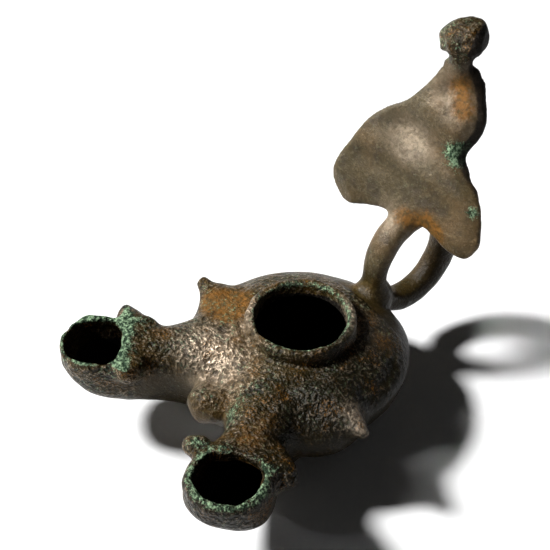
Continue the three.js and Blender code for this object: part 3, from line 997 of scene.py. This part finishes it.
@dataclass(frozen=True)
class WeatheringAndPaintedShade:
    """Where the tints lie apart from the patches, painted shade among them: strengths, and places between
    which they fade in.
    """

    rim_crust: tuple[float, float] = (1.0, 0.6)
    rim_below: tuple[float, float] = (-2.6, -0.6)
    head_before: tuple[float, float] = (-4.0, 2.0)
    head_coarse: float = 0.6
    # Inside the wick holes: painted shade deeper down, with ochre and a darker tone on the walls
    mouth_below: float = 1.6
    mouth_dark: tuple[float, float] = (-8.0, -16.0)
    mouth_ochre: float = 0.35
    mouth_deep: float = 0.8
    lip_crust: float = 0.5
    lip_out: float = 0.6
    lip_wide: float = 1.3
    lip_height: tuple[float, float] = (35.0, 36.6)
    hole_height: tuple[float, float] = (36.5, 35.0)
    hole_shade: float = 1.5
    body_top: float = 42.0
    skin_coarse: float = 0.12
    deck_coarse: float = 0.75
    deck_height: tuple[float, float] = (24.0, 29.0)
    deck_back: float = 24.0
    ball_coarse: float = 0.8
    ball_height: tuple[float, float] = (103.0, 106.0)
    # Painted shade on the body's right side and low on the body
    right_painted_shade: float = 0.9
    right_across: tuple[float, float] = (0.0, 20.0)
    right_slant: float = 0.2
    low_painted_shade: float = 0.5
    low_height: tuple[float, float] = (22.0, 14.0)
    leaf_height: tuple[float, float] = (52.0, 56.0)
    leaf_back: tuple[float, float] = (38.0, 42.0)
    band_shade: float = 0.7
    band_share: tuple[float, float] = (0.25, 0.8)
    handle_bare: float = 0.07
    handle_height: tuple[float, float] = (36.0, 44.0)
    handle_back: tuple[float, float] = (20.0, 30.0)
    handle_top: float = 104.0


@dataclass
class Casting:
    """The whole lamp: its forms, the corrosion on them, its hollows, its mesh and its masks."""

    step: float = 0.78
    bowl: Bowl = field(default_factory=Bowl)
    leaf: Leaf = field(default_factory=Leaf)
    ring: Ring = field(default_factory=Ring)
    lobe: Lobe = field(default_factory=Lobe)
    ears: list[Ear] = field(default_factory=lambda: [
        Ear(-1, 76.5, 40.5, 29.5),
        Ear(1, 75.0, 43.5, 27.8, tip_radius=1.5, root_rise=8.5, root_wide=11.0, web=10.0)])
    nozzles: list[Nozzle] = field(default_factory=lambda: [
        Nozzle(-1, 33.5, 11.4, 19.4, 18.2, 0.9, 2.1, 0.8, [
            Knob(-1, 0.7, 4.0, radius=3.6, trail=5.0, sink=0.2, stub=0.0, blend=4.5),
            Knob(1, 1.5, 4.4, radius=3.4, trail=8.5, sink=0.6, blend=3.2)]),
        Nozzle(1, 31.0, 12.3, 18.0, 16.8, 3.2, 2.4, 0.0, [
            Knob(-1, 1.8, 4.0), Knob(1, 1.4, 6.0, radius=3.2, trail=9.0, sink=0.4, blend=3.6)]),
    ])
    corrosion: Corrosion = Corrosion()
    weathering_and_painted_shade: WeatheringAndPaintedShade = WeatheringAndPaintedShade()
    body_within: float = 4.0
    below_collar: float = 5.0
    below_rim: float = 10.0
    settling: int = 4

    def crust_on_forms(self, volume: Volume) -> Array:
        """Works out how rough the metal is.

        Args:
            volume: The grid.

        Returns:
            For each point of the grid 0 on smooth skin, 1 on thick crust and a little more at the worst.
        """
        eaten = self.corrosion
        block = volume.block()
        rough = np.zeros(volume.values.shape, np.float32)
        for nozzle in self.nozzles:
            along = block.along(nozzle.out)
            head = smooth(*(nozzle.knob_at + shift for shift in eaten.head_from_knob), along)
            high = smooth(*(nozzle.rim + shift for shift in eaten.head_from_rim), block.z)
            rough += eaten.head * head * high
        tip = self.leaf.spot(0, self.leaf.length + eaten.ball_up)
        rough += eaten.ball * (block.gap(tip) < eaten.ball_radius)
        near = self.leaf.block(volume)
        across = near.along(self.leaf.across, self.leaf.foot)
        up = near.along(self.leaf.up, self.leaf.foot)
        rough[near.part] += eaten.leaf_band * self.leaf.band_share(across, up, self.leaf.depth(across, up))
        right, back = eaten.ridge_at
        ridge = (block.x - right + eaten.ridge_slant * (block.y - back)) / eaten.ridge_wide
        run = smooth(*eaten.ridge_front, block.y) * (1 - smooth(*eaten.ridge_back, block.y))
        rough += np.exp(-ridge ** 2) * run * (block.z > eaten.ridge_above)
        rough += eaten.lobe * (block.gap(self.lobe.centre) < eaten.lobe_radius)
        deck = smooth(*eaten.deck_height, block.z) * (1 - smooth(*eaten.deck_back, block.y))
        return np.clip(rough + eaten.deck * deck * (block.z < self.weathering_and_painted_shade.body_top), 0, eaten.most)

    def field_of_bronze(self) -> Volume:
        """Works out the signed distances of the whole casting.

        Returns:
            The volume, cut off at the CAD model's box.
        """
        low, high = cad_limits()
        eaten = self.corrosion
        margin = 3 * self.step
        start = np.array([low[0] - margin, low[1] - margin, -3 * self.step])
        volume = Volume(start, high + margin, self.step)
        self.bowl.form(volume)
        for ear in self.ears:
            ear.skirt(volume)
        for form in (*self.nozzles, *self.ears, self.lobe, self.ring, self.leaf, Finial(self.leaf)):
            form.form(volume)
        self.bowl.collar(volume)
        self.bowl.shoulder(volume)
        broad = volume.noise(eaten.broad_cell, 3)
        lumps = volume.noise(eaten.lump_cell, 5)
        grains = volume.noise(eaten.grain_cell, 8)
        rough = self.crust_on_forms(volume)
        lump_deep = eaten.lumps[0] + eaten.lumps[1] * rough
        grain_deep = eaten.grains[0] + eaten.grains[1] * rough
        volume.values -= eaten.broad * broad + lump_deep * lumps + grain_deep * grains
        block = volume.block()
        volume.carve(block, self.bowl.hollow(block) + eaten.hollow_lumps * lumps, self.bowl.lip)
        for nozzle in self.nozzles:
            part = nozzle.block(volume)
            uneven = eaten.mouth_lumps * lumps[part.part] + eaten.mouth_grains * grains[part.part]
            volume.carve(part, nozzle.hollow(part) + np.maximum(uneven, eaten.mouth_least), nozzle.lip)
        for axis, line in enumerate((block.x, block.y, block.z)):
            volume.values = np.maximum(volume.values, np.maximum(low[axis] - line, line - high[axis]))
        return volume

    def inside(self, volume: Volume, points: Array) -> Array:
        """Tells which points lie on the inner walls.

        Args:
            volume: The volume that the casting was made in.
            points: The mesh's vertices.

        Returns:
            True for each point within the surface halfway through the wall.
        """
        middle = self.bowl.shell(volume.block(), self.bowl.wall / 2)
        for nozzle in self.nozzles:
            near = nozzle.block(volume)
            middle[near.part] = np.minimum(middle[near.part], nozzle.body(near, nozzle.wall / 2))
        return volume.sample(middle, points) < 0

    def hidden(self, inside: Array, points: Array) -> Array:
        """Tells which points on the inner walls lie too deep to be seen well.

        Args:
            inside: True for each point on the inner walls.
            points: The mesh's vertices.

        Returns:
            1 for each point on the inner walls well below the lips, and 0 for the others.
        """
        radius = np.hypot(points[:, 0], points[:, 1])
        level = np.where(radius < self.bowl.radius - self.body_within,
                         self.bowl.collar_top - self.below_collar, self.nozzles[0].rim - self.below_rim)
        return (inside & (points[:, 2] < level)).astype(float)

    def masks(self, inside: Array, points: Array) -> dict[Tint, Array]:
        """Works out the strength of each tint from the vertices' place on the lamp.

        Args:
            inside: True for each point on the inner walls.
            points: The mesh's vertices.

        Returns:
            For each tint its strength at each point, from 0 to 1.
        """
        wear_and_painted_light = self.weathering_and_painted_shade
        result = {tint: np.zeros(len(points)) for tint in Tint}
        right, back, height = points.T
        for nozzle, strength in zip(self.nozzles, wear_and_painted_light.rim_crust):
            along = points @ nozzle.out
            start, full = wear_and_painted_light.head_before
            head = smooth(nozzle.knob_at + start, nozzle.knob_at + full, along)
            start, full = wear_and_painted_light.rim_below
            result[Tint.CRUST] += strength * smooth(nozzle.rim + start, nozzle.rim + full, height) * head
            # Inside each wick hole: painted shade deeper down, with ochre and a darker tone on the walls
            middle = nozzle.tip - nozzle.rim_front - nozzle.mouth_long / 2
            mouth = inside & (along > middle - nozzle.mouth_long) & (height < nozzle.rim - wear_and_painted_light.mouth_below)
            start, full = wear_and_painted_light.mouth_dark
            result[Tint.SHADE] += mouth * smooth(nozzle.rim + start, nozzle.rim + full, height)
            result[Tint.OCHRE] += wear_and_painted_light.mouth_ochre * mouth
            result[Tint.DARK_PATINA_AND_PAINTED_SHADE] += wear_and_painted_light.mouth_deep * mouth
            result[Tint.COARSE] += wear_and_painted_light.head_coarse * head
        radius = np.hypot(right, back)
        body = height < wear_and_painted_light.body_top
        fill = self.bowl.fill_radius
        lip = np.exp(-((radius - fill - wear_and_painted_light.lip_out) / wear_and_painted_light.lip_wide) ** 2)
        result[Tint.CRUST] += wear_and_painted_light.lip_crust * lip * smooth(*wear_and_painted_light.lip_height, height) * (radius < fill + 8)
        # Painted shade on the inner walls below the lips and down the filling hole
        result[Tint.SHADE] += wear_and_painted_light.hole_shade * self.hidden(inside, points)
        result[Tint.SHADE] += wear_and_painted_light.hole_shade * (radius < fill + 0.2) * smooth(*wear_and_painted_light.hole_height, height)
        deck = smooth(*wear_and_painted_light.deck_height, height) * (back < wear_and_painted_light.deck_back) * body
        result[Tint.COARSE] += wear_and_painted_light.skin_coarse + wear_and_painted_light.deck_coarse * deck
        result[Tint.COARSE] += wear_and_painted_light.ball_coarse * smooth(*wear_and_painted_light.ball_height, height)
        # Painted shade on the body's right side and low on the body
        slanted = smooth(*wear_and_painted_light.right_across, right + wear_and_painted_light.right_slant * back)
        result[Tint.DARK_PATINA_AND_PAINTED_SHADE] += wear_and_painted_light.right_painted_shade * slanted * body
        result[Tint.DARK_PATINA_AND_PAINTED_SHADE] += wear_and_painted_light.low_painted_shade * smooth(*wear_and_painted_light.low_height, height)
        # Painted shade on the leaf's rolled right band
        across = (points - np.array(self.leaf.foot)) @ self.leaf.across
        up = (points - np.array(self.leaf.foot)) @ self.leaf.up
        on_leaf = smooth(*wear_and_painted_light.leaf_height, height) * smooth(*wear_and_painted_light.leaf_back, back)
        band = self.leaf.band_share(across, up, self.leaf.depth(across, up)) * on_leaf
        result[Tint.SHADE] += wear_and_painted_light.band_shade * smooth(*wear_and_painted_light.band_share, band)
        handle = smooth(*wear_and_painted_light.handle_height, height) * smooth(*wear_and_painted_light.handle_back, back)
        result[Tint.BARE_AND_PAINTED_HIGHLIGHT] += wear_and_painted_light.handle_bare * handle * (height < wear_and_painted_light.handle_top)
        for tint, patches in PATCHES.items():
            for patch in patches:
                result[tint] += patch.weigh(points)
        return {tint: np.clip(mask, 0, 1) for tint, mask in result.items()}

    def build(self) -> bpy.types.Object:
        """Makes the casting's object.

        Returns:
            The object, whose mesh has a mask attribute for each tint.
        """
        volume = self.field_of_bronze()
        points, faces = volume.surface()
        points = np.clip(volume.settle(points, faces, self.settling), *cad_limits())
        mesh = bpy.data.meshes.new("bronze_casting")
        mesh.vertices.add(len(points))
        mesh.vertices.foreach_set("co", (points * MM).astype(np.float32).ravel())
        mesh.loops.add(faces.size)
        mesh.loops.foreach_set("vertex_index", faces.astype(np.int32).ravel())
        mesh.polygons.add(len(faces))
        mesh.polygons.foreach_set("loop_start", np.arange(0, faces.size, 4, dtype=np.int32))
        mesh.update(calc_edges=True)
        mesh.validate()
        for tint, mask in self.masks(self.inside(volume, points), points).items():
            layer = mesh.attributes.new(tint.value, "FLOAT", "POINT")
            layer.data.foreach_set("value", mask.astype(np.float32))
        mesh.polygons.foreach_set("use_smooth", np.ones(len(mesh.polygons), bool))
        return placed("bronze_casting", mesh)


class Flow:
    """A socket of a node tree that does arithmetic: each operator adds its Math node."""

    def __init__(self, tree: "Tree", socket: bpy.types.NodeSocket) -> None:
        """Wraps an output socket."""
        self.tree = tree
        self.socket = socket

    def _math(self, operation: str, *values: Any) -> "Flow":
        """Adds a Math node on values or flows."""
        return self.tree.add("ShaderNodeMath", {"operation": operation}, dict(enumerate(values)))

    def __add__(self, other: Any) -> "Flow":
        """Adds."""
        return self._math("ADD", self, other)

    __radd__ = __add__

    def __sub__(self, other: Any) -> "Flow":
        """Subtracts."""
        return self._math("SUBTRACT", self, other)

    def __rsub__(self, other: Any) -> "Flow":
        """Subtracts from a number."""
        return self._math("SUBTRACT", other, self)

    def __mul__(self, other: Any) -> "Flow":
        """Multiplies."""
        return self._math("MULTIPLY", self, other)

    __rmul__ = __mul__

    def clipped(self) -> "Flow":
        """Keeps the value between 0 and 1."""
        return self.tree.add("ShaderNodeClamp", {}, {"Value": self})

    def step(self, low: float, high: float) -> "Flow":
        """A smooth step from 0 at low to 1 at high."""
        return self.tree.add("ShaderNodeMapRange", {"interpolation_type": "SMOOTHSTEP"},
                             {"Value": self, "From Min": low, "From Max": high})


@dataclass
class Tree:
    """The node tree of one material."""

    material: bpy.types.Material

    def __post_init__(self) -> None:
        """Starts an empty tree."""
        self.material.use_nodes = True
        self.nodes = self.material.node_tree.nodes
        self.links = self.material.node_tree.links
        self.nodes.clear()

    def add(self, kind: str, settings: dict[str, Any], inputs: dict[Any, Any], output: Any = 0) -> Flow:
        """Adds a node of any type.

        Args:
            kind: The node's type.
            settings: Its properties, set before its sockets.
            inputs: Values, colours or flows for its sockets, by name or place.
            output: The name or place of the output wanted.

        Returns:
            The output as a flow.
        """
        node = self.nodes.new(kind)
        for name, value in settings.items():
            setattr(node, name, value)
        for name, value in inputs.items():
            if isinstance(value, Flow):
                self.links.new(value.socket, node.inputs[name])
            else:
                node.inputs[name].default_value = value
        return Flow(self, node.outputs[output])

    def finish(self, shader: Flow) -> None:
        """Puts the shader on the material's surface."""
        output = self.nodes.new("ShaderNodeOutputMaterial")
        self.links.new(shader.socket, output.inputs["Surface"])

    def noise(self, scale: float, detail: float = 3.0, roughness: float = 0.55) -> Flow:
        """Fractal noise over the object's own place, scale being its lumps for each metre."""
        place = self.add("ShaderNodeTexCoord", {}, {}, "Object")
        inputs = {"Vector": place, "Scale": scale, "Detail": detail, "Roughness": roughness}
        return self.add("ShaderNodeTexNoise", {}, inputs)

    def mask(self, tint: Tint) -> Flow:
        """A mask that the mesh carries."""
        return self.add("ShaderNodeAttribute", {"attribute_name": tint.value}, {}, "Fac")

    def mix(self, share: Flow, first: Any, second: Any) -> Flow:
        """Mixes two colours, from the first at a share of 0 to the second at 1."""
        return self.add("ShaderNodeMix", {"data_type": "RGBA"}, {0: share, 6: first, 7: second}, 2)


def colour(red: float, green: float, blue: float) -> tuple[float, float, float, float]:
    """A colour with its alpha."""
    return (red, green, blue, 1.0)


@dataclass(frozen=True)
class CorrodedBronze:
    """The casting's finish: olive-brown patina with grain and painted shade, grey-pink wear with painted
    highlights, green crust and ochre earth.
    """

    dark: tuple = colour(0.004, 0.003, 0.001)
    # Darker patina, also painted shade on the right of the body, low on it and under the left nozzle
    deep: tuple = colour(0.006, 0.0045, 0.0014)
    olive: tuple = colour(0.036, 0.027, 0.007)
    warm: tuple = colour(0.062, 0.037, 0.010)
    # Worn metal, also the colour of painted highlights
    metal: tuple = colour(0.460, 0.365, 0.270)
    green: tuple = colour(0.220, 0.320, 0.190)
    deep_green: tuple = colour(0.014, 0.030, 0.015)
    ochre: tuple = colour(0.150, 0.064, 0.010)
    # Two stains, and painted shade in the hollows, on the leaf's rolled band and on the ball's far side
    stain_and_painted_shade: tuple = colour(0.003, 0.002, 0.0015)
    relief_deep: float = 0.0012
    sheen: float = 0.14

    def material(self) -> bpy.types.Material:
        """Builds the material.

        The patina comes first, its darker tone partly painted shade, then wear to the metal with painted
        highlights, ochre earth, rust, green crust, and stains with painted shade over it, each by its own
        mask or by noise.
        Roughness, metal and relief follow the same masks.

        Returns:
            The material, which reads Object coordinates and the mesh's masks.
        """
        made = bpy.data.materials.new("corroded_bronze")
        tree = Tree(made)
        broad = tree.noise(55, 4)
        blotch = tree.noise(170, 5, 0.6)
        grain = tree.noise(620, 4, 0.68)
        fine = tree.noise(1900, 3, 0.6)
        speck = tree.noise(1200, 3, 0.6)
        relief = tree.noise(760, 1.5, 0.5)
        coarse, deep, bare_and_painted_highlight = (tree.mask(tint) for tint in (Tint.COARSE, Tint.DARK_PATINA_AND_PAINTED_SHADE, Tint.BARE_AND_PAINTED_HIGHLIGHT))
        base = tree.mix(broad.step(0.35, 0.65), self.olive, self.warm)
        base = tree.mix(blotch.step(0.48, 0.72) * 0.7, base, self.dark)
        base = tree.mix((1 - fine.step(0.36, 0.56)) * 0.3, base, self.dark)
        pitted = (1 - relief.step(0.36, 0.54)) * coarse
        base = tree.mix(pitted * (0.45 + 0.5 * blotch.step(0.42, 0.58)), base, self.dark)
        # Darker patina, and painted shade on the right of the body, low on it and under the left nozzle
        base = tree.mix(deep * (0.95 - 0.3 * fine.step(0.55, 0.68)), base, self.deep)
        sparks = relief.step(0.5, 0.62) * fine.step(0.46, 0.58) * coarse * (1 - 0.6 * deep)
        # Wear to the metal, with painted highlights on the left deck, two bands of the leaf, the right ear's
        # ridge, the collar's lip and the ring's shoulder
        wear_and_painted_light = bare_and_painted_highlight * (0.6 + 0.4 * grain.step(0.4, 0.6)) * (1 - 0.7 * coarse * (1 - relief.step(0.42, 0.54)))
        glint = (0.5 * sparks + wear_and_painted_light).clipped()
        base = tree.mix(glint, base, self.metal)
        ochre = (tree.mask(Tint.OCHRE) + 0.7 * (blotch - 0.5) + 0.6 * (speck - 0.5)).step(0.25, 0.75)
        earth = tree.mix(grain.step(0.35, 0.62), self.warm, self.ochre)
        base = tree.mix(ochre * 0.95, base, earth)
        rust = fine.step(0.52, 0.6) * (1 - blotch.step(0.36, 0.5)) * coarse
        base = tree.mix(rust * 0.8, base, self.ochre)
        crust_edge = tree.mask(Tint.CRUST) + 0.7 * (blotch - 0.5) + 1.1 * (speck - 0.5) + 0.6 * (fine - 0.5)
        crust = crust_edge.step(0.34, 0.66)
        flecks = speck.step(0.54, 0.62) * blotch.step(0.48, 0.6) * coarse * (1 - 0.7 * deep)
        green = tree.mix((0.5 * relief + 0.5 * fine).step(0.44, 0.6), self.deep_green, self.green)
        base = tree.mix((crust + 0.8 * flecks).clipped(), base, green)
        # Painted shade in the hollows, on the leaf's rolled band and the ball's far side, and two stains in
        # the ochre
        shade = (tree.mask(Tint.SHADE) + 0.5 * (blotch - 0.5)).step(0.3, 0.7)
        base = tree.mix(shade * 0.92, base, self.stain_and_painted_shade)
        rough = (0.38 - 0.12 * glint + 0.4 * crust + 0.35 * ochre + 0.4 * shade).clipped()
        metal = (0.9 * glint * (1 - crust) * (1 - 0.9 * ochre) * (1 - shade)).clipped()
        height = (0.12 + 0.88 * coarse) * relief + (0.16 + 0.06 * coarse) * fine + 0.3 * crust * speck
        bump_inputs = {"Strength": 1.0, "Distance": self.relief_deep, "Height": height}
        shader = tree.add("ShaderNodeBsdfPrincipled", {}, {
            "Base Color": base, "Roughness": rough, "Metallic": metal,
            "Normal": tree.add("ShaderNodeBump", {}, bump_inputs), "Specular IOR Level": self.sheen})
        tree.finish(shader)
        return made


@dataclass(frozen=True)
class Floor:
    """A plain pale floor that runs on under the lamp."""

    half: float = 3.0
    pale: tuple = colour(0.86, 0.86, 0.86)
    rough: float = 0.8

    def build(self) -> bpy.types.Object:
        """Makes the floor.

        Returns:
            The floor's object.
        """
        h = self.half
        mesh = bpy.data.meshes.new("floor")
        mesh.from_pydata([(-h, -h, 0), (h, -h, 0), (h, h, 0), (-h, h, 0)], [], [(0, 1, 2, 3)])
        material = bpy.data.materials.new("pale_floor")
        tree = Tree(material)
        inputs = {"Base Color": self.pale, "Roughness": self.rough}
        tree.finish(tree.add("ShaderNodeBsdfPrincipled", {}, inputs))
        mesh.materials.append(material)
        floor = placed("floor", mesh)
        return floor


@dataclass(frozen=True)
class StudioLight:
    """A round light: where it hangs about its aim, how wide and strong it is, and how far its rays spread."""

    name: str
    azimuth: float
    elevation: float
    away: float
    wide: float
    watts: float
    aim: Triple = (0.0, 0.0, 38.0)
    spread: float = 180.0

    def build(self) -> None:
        """Makes the light."""
        back = towards(self.azimuth, self.elevation)
        light = bpy.data.lights.new(self.name, "AREA")
        light.shape = "DISK"
        light.size = self.wide
        light.energy = self.watts
        light.spread = math.radians(self.spread)
        holder = placed(self.name, light)
        holder.location = Vector(self.aim) * MM + back * self.away
        holder.rotation_euler = back.to_track_quat("Z", "Y").to_euler()


@dataclass(frozen=True)
class Studio:
    """The camera at the photograph's angle, the soft lights and the pale surroundings."""

    azimuth: float = 50.4
    elevation: float = 42.1
    away: float = 320.0
    right: float = -8.0
    up: float = 12.0
    height: float = 38.0
    focal_px: float = 1042.0
    frame_px: float = 550.0
    sensor: float = 36.0
    ambient: float = 0.01
    lights: tuple[StudioLight, ...] = (
        StudioLight("key", -52.0, 45.0, 1.4, 0.26, 42.0),
        StudioLight("leaf_light", -10.0, 32.0, 0.6, 0.16, 0.045, (0.0, 48.0, 82.0), 14.0),
        StudioLight("front", -30.0, 16.0, 1.0, 0.6, 0.15),
        StudioLight("fill", 120.0, 55.0, 1.2, 0.9, 0.15),
    )

    def camera(self) -> None:
        """Makes the camera, looking along -back with its own right and up."""
        back = towards(self.azimuth, self.elevation)
        right = Vector((0, 0, 1)).cross(back).normalized()
        up = back.cross(right)
        eye = Vector((0, 0, self.height)) + right * self.right + up * self.up + back * self.away
        lens = bpy.data.cameras.new("camera")
        lens.sensor_width = self.sensor
        lens.lens = self.focal_px / self.frame_px * self.sensor
        lens.clip_start = 0.01
        camera = placed("camera", lens)
        turn = Matrix((right, up, back)).transposed().to_4x4()
        camera.matrix_world = Matrix.Translation(eye * MM) @ turn
        bpy.context.scene.camera = camera

    def build(self) -> None:
        """Makes the camera, the lights, the surroundings and the floor."""
        self.camera()
        for light in self.lights:
            light.build()
        world = bpy.data.worlds.new("studio")
        world.use_nodes = True
        background = world.node_tree.nodes["Background"]
        background.inputs["Color"].default_value = colour(1, 1, 1)
        background.inputs["Strength"].default_value = self.ambient
        bpy.context.scene.world = world
        bpy.context.scene.view_settings.view_transform = "Standard"
        Floor().build()


def main() -> None:
    """Builds the studio and the casting, and lets the casting stand for its solid."""
    logging.basicConfig(level=logging.INFO)
    Studio().build()
    piece = Casting().build()
    piece.data.materials.append(CorrodedBronze().material())
    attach(piece, BODY)
    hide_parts(NODE)
    LOG.info("%s: %d vertices", piece.name, len(piece.data.vertices))


if __name__ == "__main__":
    main()
